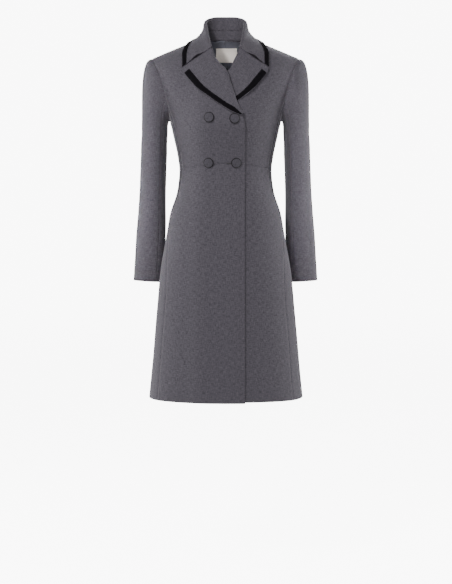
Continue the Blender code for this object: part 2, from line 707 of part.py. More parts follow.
for side, hand in ((-1, "right"), (1, "left")):
    bodice_rows = WAIST_ROWS + CHEST_ROWS
    back_rows = LOW_ROWS + CHEST_ROWS
    arm_rows = CAP_ROWS + ARM_ROWS
    wall(f"{hand}_front_bodice", front_bodice(side), side, FRONT_COLUMNS, bodice_rows, CLOTH, wool)
    wall(f"{hand}_front_skirt", front_skirt(side), side, FRONT_COLUMNS, SKIRT_ROWS, CLOTH, wool)
    wall(f"{hand}_side_panel", side_panel(side), side, SIDE_COLUMNS, LOW_ROWS + ARMHOLE_ROWS, CLOTH, wool)
    wall(f"{hand}_back", back_panel(side), -side, BACK_COLUMNS, back_rows, CLOTH, wool)
    top_sleeve = sleeve(side, UNDER_SLEEVE_TO - 360, UNDER_SLEEVE_FROM)
    under_sleeve = sleeve(side, UNDER_SLEEVE_FROM, UNDER_SLEEVE_TO)
    wall(f"{hand}_top_sleeve", top_sleeve, side, TOP_COLUMNS, arm_rows, CLOTH, wool)
    wall(f"{hand}_under_sleeve", under_sleeve, side, UNDER_COLUMNS, arm_rows, CLOTH, wool)
    wall(f"{hand}_lapel", lapel(side), -side, LAPEL_ACROSS, LAPEL_ROWS, CLOTH, wool)

    trim_from = (ROLL_COLUMNS + LAPEL_COLUMNS) / LAPEL_ACROSS
    trim_to = 1 - 1 / LAPEL_ACROSS
    last_row = LAPEL_ROWS if side < 0 else LEFT_TRIM_TO
    trim = part_of(lapel(side), trim_from, trim_to, LAPEL_TRIM_FROM / LAPEL_ROWS, last_row / LAPEL_ROWS)
    trim = lying_on(trim, -side, LAYER_GAP + VELVET)
    wall(f"{hand}_lapel_trim", trim, -side, TRIM_COLUMNS, last_row - LAPEL_TRIM_FROM, VELVET, velvet)

    lining = part_of(back_panel(side), 0, LINING_COLUMNS / BACK_COLUMNS, 1 - LINING_ROWS / back_rows, 1)
    lining = lying_on(lining, -side, -CLOTH - LAYER_GAP)
    wall(f"{hand}_back_lining", lining, -side, LINING_COLUMNS, LINING_ROWS, LINING, satin)

stand_seam = STAND_ROWS / COLLAR_DOWN
stand = part_of(collar, 0, 1, 0, stand_seam)
wall("collar_stand", stand, 1, COLLAR_COLUMNS, STAND_ROWS, CLOTH, wool, COLLAR_GAP)
fall = part_of(collar, 0, 1, stand_seam, 1)
wall("collar", fall, 1, COLLAR_COLUMNS, COLLAR_DOWN - STAND_ROWS, CLOTH, wool, COLLAR_GAP)
trim = part_of(collar, 0, 1, 1 - (1 + TRIM_COLUMNS) / COLLAR_DOWN, 1 - 1 / COLLAR_DOWN)
trim = lying_on(trim, 1, LAYER_GAP + VELVET)
wall("collar_trim", trim, 1, COLLAR_COLUMNS, TRIM_COLUMNS, VELVET, velvet)

for place in BUTTONS:
    button(place, wool)

label_depth = CLOTH + LAYER_GAP + LINING + LABEL_GAP
label_bottom = LABEL_TOP_Z - LABEL_HEIGHT
label_patch = inside_back(label_depth, LABEL_CENTRE_X, LABEL_WIDTH / 2, label_bottom, LABEL_TOP_Z)
wall("neck_label", label_patch, -1, 4, 3, LABEL, label)
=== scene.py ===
import math
from collections import namedtuple

import bmesh
import bpy
import numpy as np
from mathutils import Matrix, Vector


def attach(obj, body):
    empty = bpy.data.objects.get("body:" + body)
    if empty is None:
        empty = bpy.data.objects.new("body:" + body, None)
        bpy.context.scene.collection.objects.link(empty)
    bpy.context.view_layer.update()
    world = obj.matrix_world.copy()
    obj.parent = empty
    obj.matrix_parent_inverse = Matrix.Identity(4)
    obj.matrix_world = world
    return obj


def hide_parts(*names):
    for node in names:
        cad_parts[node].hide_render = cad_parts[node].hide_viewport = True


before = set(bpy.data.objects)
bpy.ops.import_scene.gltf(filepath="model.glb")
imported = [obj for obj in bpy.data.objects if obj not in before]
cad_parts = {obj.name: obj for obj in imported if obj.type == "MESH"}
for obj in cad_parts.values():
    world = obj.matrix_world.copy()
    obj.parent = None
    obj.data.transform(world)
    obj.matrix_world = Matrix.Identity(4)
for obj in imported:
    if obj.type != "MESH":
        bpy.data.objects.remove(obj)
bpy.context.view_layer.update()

MM = 0.001

# Cloth
THICKNESS = {"wool": 2.0, "velvet": 1.0, "satin": 1.0, "label": 0.8}
EDGE_ROUND, EDGE_SHARE = 0.5, 0.45  # radius of the turned edge of a piece, at most this share of the cloth
EDGE_BEND = math.radians(55)  # only a sharper edge than this is rounded
SEAM_DEPTH, SEAM_SOFT = 0.9, 2.2  # a sewn edge dips this deep, over about this width
ALLOWANCE_RIDGE, ALLOWANCE_AT, ALLOWANCE_SOFT = 0.3, 9.0, 3.5  # the pressed seam allowance shows as a ridge
FACING_RIDGE, FACING_AT, FACING_SOFT = 0.6, 15.0, 2.4  # the facing's edge shows along the front edge
# Seam allowances close the seams to light. Steps outwards and inwards from the edge: turned in square,
# pressed flat under the next piece, laid thin into the centre-back seam, or turned in at the sleeve's head.
TURNED_IN = [(0, 0.7), (0, 1.9)]
PRESSED_UNDER = [(0.1, 0.8), (0.3, 2.4), (3.0, 2.6), (6.0, 2.8)]
CENTRE_BACK_UNDER = [(0, 0.6), (0.15, 1.2), (2.5, 1.4)]
SLEEVE_HEAD_IN = [(0, 1.5), (0, 4.0), (0, 8.0)]
SLEEVE_HEAD_ACROSS, SLEEVE_HEAD_DOWN = 0.8, 0.6  # the way it is turned in: towards the middle and down
UNDER_EDGES = {"side_panel": "centre side", "under_sleeve": "centre side", "front_skirt": "top"}
ARMHOLE_FLAT = 0.35  # how much shallower the dip is along the armhole
ARMHOLE_LOW_Z, ARMHOLE_SOFT, SLEEVE_HEAD_SOFT = -205, 25, 12  # where the armhole starts, and its fading
EDGE_LIFT, EDGE_LIFT_SOFT = 1.4, 9.0  # the right front stands off the left along its edge
PLEAT_WIDTH, PLEAT_LAP = 16.0, (1.0, 2.5, 4.5)  # the lining's pleat at the centre back
# The pleat is held down behind the label and comes loose below it, over some height.
PLEAT_HEIGHT, PLEAT_LOOSE, PLEAT_FREE_Z, PLEAT_FREE_SOFT = 0.5, 3.0, -56.0, 14
NECK_SEAM_FLAT = 0.7  # how much shallower the dip is on the collar and its stand
# The lower buttonhole is worked in the waist seam: its ends beside the centre, and its stitches, black as
# painted shadow of the hole's slit.
HOLE_FROM, HOLE_TO, HOLE_POINTS = 3.0, 31.0, 15
HOLE_WIDTH, HOLE_HEIGHT, HOLE_SUNK = 3.2, 1.8, 1.6
WAIST_SEAM_FLAT = 0.4  # how much shallower the dip is along the waist seam
# The gorge seam joins the collar to the lapel. Its two ends: places beside the centre line and heights.
GORGE_IN, GORGE_OUT = np.array([37.0, -18.0]), np.array([104.0, -66.0])
# The collar's front edge lifts off the gorge seam and opens the notch: the share of the way out where it
# lifts most, the length as a share, the lift, and how far up the collar the lift is drawn.
NOTCH_AT, NOTCH_LONG, NOTCH_LIFT, NOTCH_DRAW = 0.66, 0.2, 7.0, 16.0
# Behind the open notch the chest falls in, so that the notch is in shadow: where, how wide and how deep.
HOLLOW_AT, HOLLOW_LONG, HOLLOW_OVER, HOLLOW_TALL, HOLLOW_DEEP = 0.65, 0.3, 0.0, 12.0, 15.0
# The collar's edge bows outwards: how far, at what height, how tall, and how far in from the edge.
LEAF_BOW, LEAF_BOW_Z, LEAF_BOW_TALL, LEAF_BOW_IN = 4.5, -38.0, 22.0, 30.0
LEAF_BACK_Y, LEAF_BACK_SOFT = 20, 40  # the bow and the lift fade out towards the back of the neck
TRIM_INSET = 2.5  # of the velvet from the collar's edge
# A piece's points lie closer together near its edges, at these distances from them.
EDGE_STEPS = np.array([0, 0.8, 1.7, 2.8, 4.2, 6.0, 8.0, 10.0, 12.0, 13.5, 15.0, 16.5, 18.0])
SHEET_BEND = math.radians(50)  # a sharper bend between two faces of a solid is its rim

# Drape: the flutes start below the hip and grow towards the hem; broad and narrow ones by depth and count.
FLUTE_TOP_Z, FLUTE_FALL, FLUTE_GROWTH = -470, 490, 1.4
BROAD_FLUTE, BROAD_COUNT, NARROW_FLUTE, NARROW_COUNT, NARROW_TWIST = 1.5, 5, 1.0, 9, 260
CHEST_WAVE = 0.35
# Folds of the sleeve at the elbow and on the upper arm: height, spread, depth and length of a fold.
ELBOW_Z, ELBOW_TALL, ELBOW_FOLD, ELBOW_LENGTH = -425, 70, 0.9, 8.5
ARM_Z, ARM_TALL, ARM_FOLD, ARM_LENGTH = -265, 50, 0.45, 11
ARM_MIDDLE_X, ARM_INSIDE_Y, ARM_INSIDE_SOFT, ARM_WAVE = 197, 40, 60, 0.5

# One row for each piece of cloth: the distance between its points, its sewn edges, whether it is folded
# tightly, the side of it that shows, how it is held, what it hangs from or lies on, and its flat size.
Cut = namedtuple("Cut", "name cloth step sewn tight shown held on width length area")
PAIRED_CUTS = [
    Cut("front_bodice", "wool", 4, "side top bottom", False, "out", "hung", ["{}_back"], 0.25, 0.40, 0.072),
    Cut("front_skirt", "wool", 5, "side top", False, "out", "hung", ["{}_front_bodice"], 0.28, 0.64, 0.144),
    Cut("side_panel", "wool", 7, "centre side top", False, "out", "hung", ["{}_back"], 0.19, 0.79, 0.104),
    Cut("back", "wool", 7, "centre side top", False, "out", "hung", ["collar_stand"], 0.25, 1.05, 0.17),
    Cut(
        "top_sleeve", "wool", 6, "centre side top", False, "out", "hung",
        ["{}_front_bodice"], 0.27, 0.64, 0.116,
    ),
    Cut(
        "under_sleeve", "wool", 6, "centre side top", False, "out", "hung",
        ["{}_top_sleeve"], 0.12, 0.51, 0.045,
    ),
    Cut("lapel", "wool", 3, "", True, "out", "folded", ["{}_front_bodice"], 0.125, 0.205, 0.0148),
    Cut("lapel_trim", "velvet", 3, "", True, "out", "laid", ["{}_lapel"], 0.0165, 0.19, 0.0025),
    Cut("back_lining", "satin", 6, "centre top", False, "in", "laid", ["{}_back"], 0.15, 0.24, 0.0233),
]
SINGLE_CUTS = [
    Cut(
        "collar_stand", "wool", 3, "top", False, "in", "folded",
        ["right_back", "left_back"], 0.28, 0.04, 0.0072,
    ),
    Cut("collar", "wool", 3, "top", True, "out", "folded", ["collar_stand"], 0.47, 0.13, 0.0455),
    Cut("collar_trim", "velvet", 3, "", True, "out", "laid", ["collar"], 0.44, 0.0155, 0.0066),
    Cut(
        "neck_label", "label", 3, "", False, "in", "laid",
        ["right_back_lining", "left_back_lining"], 0.06, 0.042, 0.00245,
    ),
]

# Buttons
ButtonTurn = namedtuple("ButtonTurn", "radius height")
BUTTON_PROFILE = [
    ButtonTurn(0.0, 6.6),
    ButtonTurn(3.5, 6.5),
    ButtonTurn(7.0, 6.15),
    ButtonTurn(10.0, 5.55),
    ButtonTurn(11.7, 5.05),
    ButtonTurn(13.4, 4.2),
    ButtonTurn(13.95, 3.5),
    ButtonTurn(13.8, 2.95),
    ButtonTurn(13.0, 2.6),
    ButtonTurn(11.0, 2.55),
    ButtonTurn(4.5, 2.4),
    ButtonTurn(4.0, 0.4),
]
BUTTON_STEPS, BUTTON_SHADE_BELOW = 64, 4.8  # below this height the button's rim is painted near black, as painted shade of the rim and the shadow round it
BUTTONS = ["upper_outer_button", "upper_edge_button", "lower_outer_button", "lower_edge_button"]

# Sewing round the label
STITCH_LENGTH, STITCH_PITCH, STITCH_INSET = 2.2, 3.2, 2.0
STITCH_WIDTH, STITCH_HEIGHT, STITCH_SUNK = 0.4, 0.3, 0.2


# Reading the cloth pieces of the solids
def sheets_of(node):
    """The two large smooth faces of a cloth solid, the larger first, as (points, triangles)."""
    work = bmesh.new()
    work.from_mesh(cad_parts[node].data)
    bmesh.ops.remove_doubles(work, verts=work.verts, dist=2e-5)
    work.faces.index_update()
    work.verts.index_update()
    seen, found = set(), []
    for seed in work.faces:
        if seed.index in seen:
            continue
        seen.add(seed.index)
        members, todo = [seed], [seed]
        while todo:
            for edge in todo.pop().edges:
                if edge.calc_face_angle(math.pi) > SHEET_BEND:
                    continue
                for face in edge.link_faces:
                    if face.index not in seen:
                        seen.add(face.index)
                        members.append(face)
                        todo.append(face)
        found.append(members)
    found.sort(key=lambda members: -sum(face.calc_area() for face in members))
    points = np.array([vert.co for vert in work.verts]) / MM
    sheets = [np.array([[vert.index for vert in face.verts] for face in members]) for members in found[:2]]
    work.free()
    return points, sheets


def rows_and_columns(triangles):
    """How many columns and rows a sheet has that was made as a grid, its edges and its border."""
    sides = np.concatenate([triangles[:, [0, 1]], triangles[:, [1, 2]], triangles[:, [2, 0]]])
    edges, times = np.unique(np.sort(sides, axis=1), axis=0, return_counts=True)
    border = edges[times == 1]
    half = len(border) / 2
    spread = math.sqrt(max(half * half - 2 * len(triangles), 0))
    return round((half + spread) / 2), round((half - spread) / 2), edges, border


def border_loop(border):
    beside = {}
    for a, b in border.tolist():
        beside.setdefault(a, []).append(b)
        beside.setdefault(b, []).append(a)
    loop = [border[0][0], beside[border[0][0]][0]]
    while len(loop) < len(border):
        ahead = [point for point in beside[loop[-1]] if point != loop[-2]]
        loop.append(ahead[0])
    return loop


def corner_angles(points, triangles):
    """The angle that a sheet fills at each of its points: small at its corners."""
    total = np.zeros(len(points))
    for k in range(3):
        at, left, right = (triangles[:, (k + n) % 3] for n in range(3))
        a = points[left] - points[at]
        b = points[right] - points[at]
        cosine = (a * b).sum(1) / np.linalg.norm(a, axis=1) / np.linalg.norm(b, axis=1)
        np.add.at(total, at, np.arccos(np.clip(cosine, -1, 1)))
    return total


def cloth_grid(node, shown):
    """The points of a cloth piece's shown face by column and row: rows go up, and columns go so that the
    face looks outwards."""
    points, sheets = sheets_of(node)
    triangles = sheets[0 if shown == "out" else 1]
    columns, rows, edges, border = rows_and_columns(triangles)
    if len(triangles) != 2 * columns * rows:
        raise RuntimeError(f"the face of {node} isn't a grid: {len(triangles)} faces, {columns} by {rows}")
    loop = border_loop(border)
    angles = corner_angles(points, triangles)
    around = len(loop)
    turns = [0, columns, columns + rows, 2 * columns + rows]
    start = min(range(around), key=lambda s: sum(angles[loop[(s + turn) % around]] for turn in turns))
    loop = loop[start:] + loop[:start]
    grid = np.full((columns + 1, rows + 1), -1)
    grid[:, 0] = loop[: columns + 1]
    grid[-1, :] = loop[columns : columns + rows + 1]
    grid[::-1, -1] = loop[columns + rows : 2 * columns + rows + 1]
    grid[0, ::-1] = loop[2 * columns + rows :] + loop[:1]
    near = {}
    for a, b in edges.tolist():
        near.setdefault(a, set()).add(b)
        near.setdefault(b, set()).add(a)
    placed = set(loop)
    for j in range(1, rows):
        for i in range(1, columns):
            # The point across a cell is next to both of its known neighbours.
            across = (near[grid[i, j - 1]] & near[grid[i - 1, j]]) - placed
            if len(across) != 1:
                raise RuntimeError(f"{node}: no single point at column {i}, row {j}")
            grid[i, j] = across.pop()
            placed.add(grid[i, j])
    face = points[grid]
    length = [np.linalg.norm(np.diff(face, axis=axis), axis=2).mean() for axis in (0, 1)]
    climbs = [abs(np.diff(face, axis=axis)[..., 2].mean()) / length[axis] for axis in (0, 1)]
    if climbs[0] > climbs[1]:
        face = face.transpose(1, 0, 2)
    if np.diff(face, axis=1)[..., 2].mean() < 0:
        face = face[:, ::-1]
    a, b, c = (points[triangles[:, k]] for k in range(3))
    outward = np.cross(b - a, c - a)
    centre = (a + b + c) / 3
    middle = face[face.shape[0] // 2, face.shape[1] // 2]
    nearest = outward[np.linalg.norm(centre - middle, axis=1).argmin()]
    if face_normals(face)[face.shape[0] // 2, face.shape[1] // 2].dot(nearest) < 0:
        face = face[::-1]
    return face


# Making the cloth pieces
shaped_faces = {}  # the finished face of each piece, by its node


def face_normals(face):
    normals = np.cross(np.gradient(face, axis=0), np.gradient(face, axis=1))
    return normals / np.linalg.norm(normals, axis=2)[..., None]


def slopes(points, knots, tight):
    """Slopes of a smooth curve through the points along the first axis; a tight one bends more locally."""
    steps = np.diff(knots)
    rises = np.diff(points, axis=0) / steps[:, None, None]
    count = len(knots)
    if count == 2:
        return np.stack([rises[0], rises[0]])
    if tight:
        return np.gradient(points, knots, axis=0)
    system = np.zeros((count, count))
    system[0, :2] = 1
    system[-1, -2:] = 1
    sums = np.concatenate([2 * rises[:1], np.zeros_like(points[1:-1]), 2 * rises[-1:]])
    for i in range(1, count - 1):
        system[i, i - 1 : i + 2] = steps[i], 2 * (steps[i - 1] + steps[i]), steps[i - 1]
        sums[i] = 3 * (steps[i] * rises[i - 1] + steps[i - 1] * rises[i])
    return np.linalg.solve(system, sums.reshape(count, -1)).reshape(points.shape)


def smooth_along(points, tight, step):
    """The points again along the first axis, on a smooth curve and about a step apart, closer at the ends."""
    knots = np.linalg.norm(np.diff(points, axis=0), axis=2).mean(1)
    knots = np.concatenate([[0], np.cumsum(knots)])
    length = knots[-1]
    if length < 3 * EDGE_STEPS[-1]:
        at = np.linspace(0, length, max(5, math.ceil(length / step) + 1))
    else:
        middle = length - 2 * EDGE_STEPS[-1]
        inner = np.linspace(EDGE_STEPS[-1], length - EDGE_STEPS[-1], math.ceil(middle / step) + 1)
        at = np.concatenate([EDGE_STEPS[:-1], inner, length - EDGE_STEPS[-2::-1]])
    k = np.clip(np.searchsorted(knots, at, side="right") - 1, 0, len(knots) - 2)
    gap = (knots[k + 1] - knots[k])[:, None, None]
    t = (at - knots[k])[:, None, None] / gap
    slope = slopes(points, knots, tight)
    return (
        (1 + 2 * t) * (1 - t) ** 2 * points[k]
        + t * (1 - t) ** 2 * gap * slope[k]
        + t * t * (3 - 2 * t) * points[k + 1]
        + t * t * (t - 1) * gap * slope[k + 1]
    )


def run_along(face, axis):
    """How far each point lies along the cloth from the first edge, and from the last."""
    lengths = np.linalg.norm(np.diff(face, axis=axis), axis=2)
    start = np.zeros_like(np.take(lengths, [0], axis))
    run = np.concatenate([start, np.cumsum(lengths, axis=axis)], axis=axis)
    return run, np.take(run, [-1], axis) - run


def bell(value, centre, width):
    return np.exp(-(((value - centre) / width) ** 2))


def body_drape(face):
    """Soft unevenness of the hanging body: broad flutes towards the hem, faint waves above them.
    The numbers that have no name only set where the waves start and how they cross."""
    x, y, z = face[..., 0], face[..., 1], face[..., 2]
    around = np.arctan2(x, -y)
    hang = np.clip((FLUTE_TOP_Z - z) / FLUTE_FALL, 0, 1) ** FLUTE_GROWTH
    broad = BROAD_FLUTE * np.sin(BROAD_COUNT * around + 0.9)
    narrow = NARROW_FLUTE * np.sin(NARROW_COUNT * around + 2.3 + z / NARROW_TWIST)
    chest = CHEST_WAVE * np.sin(x / 31 + z / 57 + 0.4) * np.sin(z / 44 - x / 83)
    return hang * (broad + narrow) + chest


def sleeve_folds(face):
    """Soft slanting folds where the arm bends, fading out towards the shoulder and the cuff.
    The numbers that have no name only set how the folds slant and where they start."""
    x, y, z = face[..., 0], face[..., 1], face[..., 2]
    inside = np.clip((ARM_INSIDE_Y - y) / ARM_INSIDE_SOFT, 0, 1)
    slant = z + 0.55 * (abs(x) - ARM_MIDDLE_X) - 0.35 * y
    elbow = bell(z, ELBOW_Z, ELBOW_TALL) * inside * ELBOW_FOLD
    elbow = elbow * np.sin(slant / ELBOW_LENGTH + 0.8 * np.sin(z / 37))
    upper = bell(z, ARM_Z, ARM_TALL) * ARM_FOLD * np.sin(slant / ARM_LENGTH + 1.3)
    along = ARM_WAVE * np.sin(z / 95 + abs(x) / 21 + 0.6)
    return elbow + upper + along


def starts_at_centre(face):
    return abs(face[0, :, 0]).mean() < abs(face[-1, :, 0]).mean()


def with_allowances(cut, node, face):
    """The piece with its seam allowances behind its sewn edges."""
    under = UNDER_EDGES.get(cut.name, "").split()
    order = ["centre", "side"] if starts_at_centre(face) else ["side", "centre"]
    for axis, names in enumerate((order, ["bottom", "top"])):
        normals = face_normals(face)
        for name, (end, beside) in zip(names, ((0, 1), (-1, -2)), strict=True):
            if name not in cut.sewn.split():
                continue
            edge, inward = (np.take(grid, [end], axis) for grid in (face, -normals))
            outward = edge - np.take(face, [beside], axis)
            outward = outward / np.linalg.norm(outward, axis=2)[..., None]
            steps = PRESSED_UNDER if name in under else TURNED_IN
            if node == "left_back" and name == "centre":
                steps = CENTRE_BACK_UNDER
            if name == "top" and "sleeve" in cut.name:
                across = -SLEEVE_HEAD_ACROSS * np.sign(edge[..., 0].mean())
                inward = np.zeros_like(inward) + (across, 0, -SLEEVE_HEAD_DOWN)
                steps = SLEEVE_HEAD_IN
            strips = [edge + outward * out + inward * depth for out, depth in steps]
            strip_normals = [np.take(normals, [end], axis)] * len(strips)
            if end:
                face = np.concatenate([face, *strips], axis)
                normals = np.concatenate([normals, *strip_normals], axis)
            else:
                face = np.concatenate([*strips[::-1], face], axis)
                normals = np.concatenate([*strip_normals, normals], axis)
    return face


def beside_gorge(face):
    """How far out along the gorge seam each point lies, as a share, and how far over it, in millimetres."""
    along = GORGE_OUT - GORGE_IN
    length = np.linalg.norm(along)
    up = np.array([-along[1], along[0]]) / length
    place = np.stack([abs(face[..., 0]), face[..., 2]], axis=-1) - GORGE_IN
    return place @ along / length**2, place @ up


def details(cut, node, face):
    """How far each point of a piece stands out from the smooth face, in millimetres."""
    from_first, from_last = run_along(face, 0)
    from_bottom, from_top = run_along(face, 1)
    centre, side = (from_first, from_last) if starts_at_centre(face) else (from_last, from_first)
    edges = {"centre": centre, "side": side, "bottom": from_bottom, "top": from_top}
    armhole = np.clip((face[..., 2] - ARMHOLE_LOW_Z) / ARMHOLE_SOFT, 0, 1)
    if cut.name in ("side_panel", "under_sleeve", "top_sleeve"):
        armhole = bell(from_top, 0, SLEEVE_HEAD_SOFT)
    elif cut.name not in ("front_bodice", "back"):
        armhole = 0
    out = np.zeros(face.shape[:2])
    for edge in cut.sewn.split():
        flatter = 0
        if edge == "side" or "sleeve" in node or cut.name == "side_panel":
            flatter = ARMHOLE_FLAT * armhole
        elif "collar" in node:
            flatter = NECK_SEAM_FLAT
        elif (cut.name, edge) in (("front_bodice", "bottom"), ("front_skirt", "top")):
            flatter = WAIST_SEAM_FLAT
        out -= SEAM_DEPTH * (1 - flatter) * bell(edges[edge], 0, SEAM_SOFT)
        if cut.cloth == "wool" and not cut.tight:
            out += ALLOWANCE_RIDGE * bell(edges[edge], ALLOWANCE_AT, ALLOWANCE_SOFT)
    if "sleeve" in node:
        out += sleeve_folds(face)
    elif cut.cloth != "label":
        out += body_drape(face) * (-1 if cut.shown == "in" else 1)
    if cut.name == "front_bodice":
        share, over = beside_gorge(face)
        out -= HOLLOW_DEEP * bell(share, HOLLOW_AT, HOLLOW_LONG) * bell(over, HOLLOW_OVER, HOLLOW_TALL)
    if cut.name == "front_skirt":
        out += FACING_RIDGE * bell(centre, FACING_AT, FACING_SOFT)
    if node in ("right_front_skirt", "right_front_bodice"):
        out += EDGE_LIFT * bell(centre, 0, EDGE_LIFT_SOFT)
    if node == "right_back_lining":
        loose = np.clip((PLEAT_FREE_Z - face[..., 2]) / PLEAT_FREE_SOFT, 0, 1)
        out += (PLEAT_HEIGHT + PLEAT_LOOSE * loose) * np.clip(1 - centre / PLEAT_WIDTH, 0, 1) ** 2
    return out


def shaped_leaf(face, inset):
    """Bows the collar's edge outwards and lifts its front edge, so that the notch is a narrow wedge."""
    share, over = beside_gorge(face)
    front = np.clip((LEAF_BACK_Y - face[..., 1]) / LEAF_BACK_SOFT, 0, 1)
    lift = NOTCH_LIFT * bell(share, NOTCH_AT, NOTCH_LONG) * bell(over, 0, NOTCH_DRAW) * front
    from_edge = run_along(face, 1)[0] + inset
    bow = LEAF_BOW * bell(face[..., 2], LEAF_BOW_Z, LEAF_BOW_TALL) * front
    bow = bow * bell(from_edge, 0, LEAF_BOW_IN)
    shaped = face.copy()
    shaped[..., 0] += np.sign(face[..., 0]) * bow
    shaped[..., 2] += lift
    return shaped


def lapped_over(face):
    """The right lining half with its centre edge carried on over the left half, as a pleat."""
    last = -1 if starts_at_centre(face[::-1]) else 0
    strips = [face[[last]] + (reach, 0, 0) for reach in PLEAT_LAP]
    return np.concatenate([face, *strips] if last else [*strips[::-1], face])


def add_object(name, mesh, *materials):
    for each in materials:
        mesh.materials.append(each)
    made = bpy.data.objects.new(name, mesh)
    bpy.context.scene.collection.objects.link(made)
    mesh.polygons.foreach_set("use_smooth", [True] * len(mesh.polygons))
    return made


def grid_faces(columns, rows):
    corner = np.arange(columns * rows).reshape(columns, rows)
    quads = [corner[:-1, :-1], corner[1:, :-1], corner[1:, 1:], corner[:-1, 1:]]
    return np.stack(quads, axis=-1).reshape(-1, 4)


def cloth_piece(cut, node):
    """One cut piece as a shell on its solid's own face, with seams, folds and a grain that runs up it."""
    face = cloth_grid(node, cut.shown)
    face = smooth_along(face, cut.tight, cut.step)
    face = smooth_along(face.transpose(1, 0, 2), cut.tight, cut.step).transpose(1, 0, 2)
    face = face + face_normals(face) * details(cut, node, face)[..., None]
    if node in ("collar", "collar_trim"):
        face = shaped_leaf(face, TRIM_INSET if node == "collar_trim" else 0)
    if node == "right_back_lining":
        face = lapped_over(face)
    shaped_faces[node] = face
    if cut.cloth == "wool" and cut.shown == "out" and not cut.tight:
        face = with_allowances(cut, node, face)
    columns, rows = face.shape[:2]
    quads = grid_faces(columns, rows)
    mesh = bpy.data.meshes.new(f"{node}_cloth")
    mesh.from_pydata((face.reshape(-1, 3) * MM).tolist(), [], quads.tolist())
    across, up = run_along(face, 0)[0], run_along(face, 1)[0]
    across = across - across[-1:] / 2
    grain = np.stack([across, up], axis=-1).reshape(-1, 2) * MM
    layer = mesh.uv_layers.new(name="grain")
    layer.data.foreach_set("uv", grain[quads.reshape(-1)].ravel())
    inner = satin if cut.cloth == "wool" and not cut.tight and node != "collar_stand" else finish[cut.cloth]
    made = add_object(f"{node}_cloth", mesh, finish[cut.cloth], inner)
    wall = made.modifiers.new("cloth thickness", "SOLIDIFY")
    wall.thickness = THICKNESS[cut.cloth] * MM
    wall.offset = -1
    wall.material_offset = 1
    edge = made.modifiers.new("turned edge", "BEVEL")
    edge.width = min(EDGE_ROUND, THICKNESS[cut.cloth] * EDGE_SHARE) * MM
    edge.segments = 2
    edge.limit_method = "ANGLE"
    edge.angle_limit = EDGE_BEND
    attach(made, "root")
    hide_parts(node)
    return made


# Buttons and stitches
def face_outwards(mesh):
    work = bmesh.new()
    work.from_mesh(mesh)
    bmesh.ops.recalc_face_normals(work, faces=work.faces)
    work.to_mesh(mesh)
    work.free()


def covered_button(node):
    """A domed button covered in the coat's cloth, turned about the axis of its solid."""
    points = np.array([vert.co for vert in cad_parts[node].data.vertices]) / MM
    middle = points.mean(0)
    axis = np.linalg.svd(points - middle)[2][2]
    axis = axis if axis[1] < 0 else -axis
    foot = middle + axis * ((points - middle) @ axis).min() - axis * BUTTON_PROFILE[-1].height
    right = np.cross([0, 0, 1.0], axis)
    right /= np.linalg.norm(right)
    up = np.cross(axis, right)
    rings = []
    for turn in BUTTON_PROFILE[1:]:
        angles = np.arange(BUTTON_STEPS) * math.tau / BUTTON_STEPS
        ring = np.outer(np.cos(angles), right) + np.outer(np.sin(angles), up)
        rings.append(foot + axis * turn.height + ring * turn.radius)
    verts = np.concatenate([[foot + axis * BUTTON_PROFILE[0].height], *rings])
    faces = []
    for i in range(BUTTON_STEPS):
        j = (i + 1) % BUTTON_STEPS
        faces.append([0, 1 + i, 1 + j])
        for ring in range(len(rings) - 1):
            a, b = 1 + ring * BUTTON_STEPS, 1 + (ring + 1) * BUTTON_STEPS
            faces.append([a + i, b + i, b + j, a + j])
    last = 1 + (len(rings) - 1) * BUTTON_STEPS
    faces.append([last + i for i in range(BUTTON_STEPS)][::-1])
    mesh = bpy.data.meshes.new(f"{node}_covered")
    mesh.from_pydata((verts * MM).tolist(), [], faces)
    face_outwards(mesh)
    layer = mesh.uv_layers.new(name="grain")
    flat = np.stack([(verts - foot) @ right, (verts - foot) @ up], axis=-1) * MM
    corners = np.zeros(len(mesh.loops), int)
    mesh.loops.foreach_get("vertex_index", corners)
    layer.data.foreach_set("uv", flat[corners].ravel())
    made = add_object(f"{node}_covered", mesh, button_wool, button_rim_painted_shade)
    heights = [np.mean([(verts[v] - foot) @ axis for v in polygon.vertices]) for polygon in mesh.polygons]
    # Faces below the shade height take the near-black wool: painted shade on the rim and painted shadow round
    # the button.
    mesh.polygons.foreach_set("material_index", [int(height < BUTTON_SHADE_BELOW) for height in heights])
    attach(made, "root")
    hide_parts(node)


def bar_along(path, normals, width, height, overlap):
    """A low rounded bar along a path: points and faces. It is sunk a little into what it lies on."""
    verts, faces = [], []
    side_height, shoulder_height = 0.35 * height, 0.8 * height
    profile = [(-0.5, -overlap), (-0.5, side_height), (-0.3, shoulder_height), (0, height)]
    profile += [(0.3, shoulder_height), (0.5, side_height), (0.5, -overlap)]
    ahead = np.gradient(path, axis=0)
    count = len(profile)
    for point, normal, way in zip(path, normals, ahead, strict=True):
        side = np.cross(way, normal)
        side /= np.linalg.norm(side)
        verts += [point + side * across * width + normal * out for across, out in profile]
    for i in range(len(path) - 1):
        for k in range(count):
            a, b = i * count + k, i * count + (k + 1) % count
            faces.append([a, b, b + count, a + count])
    faces.append(list(range(count))[::-1])
    faces.append([len(verts) - count + k for k in range(count)])
    return verts, faces


def bars(name, parts, material):
    """All bars of one kind as one object."""
    verts, faces = [], []
    for points, quads in parts:
        faces += [[len(verts) + v for v in quad] for quad in quads]
        verts += points
    mesh = bpy.data.meshes.new(name)
    mesh.from_pydata([tuple(point * MM) for point in verts], [], faces)
    face_outwards(mesh)
    made = add_object(name, mesh, material)
    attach(made, "root")


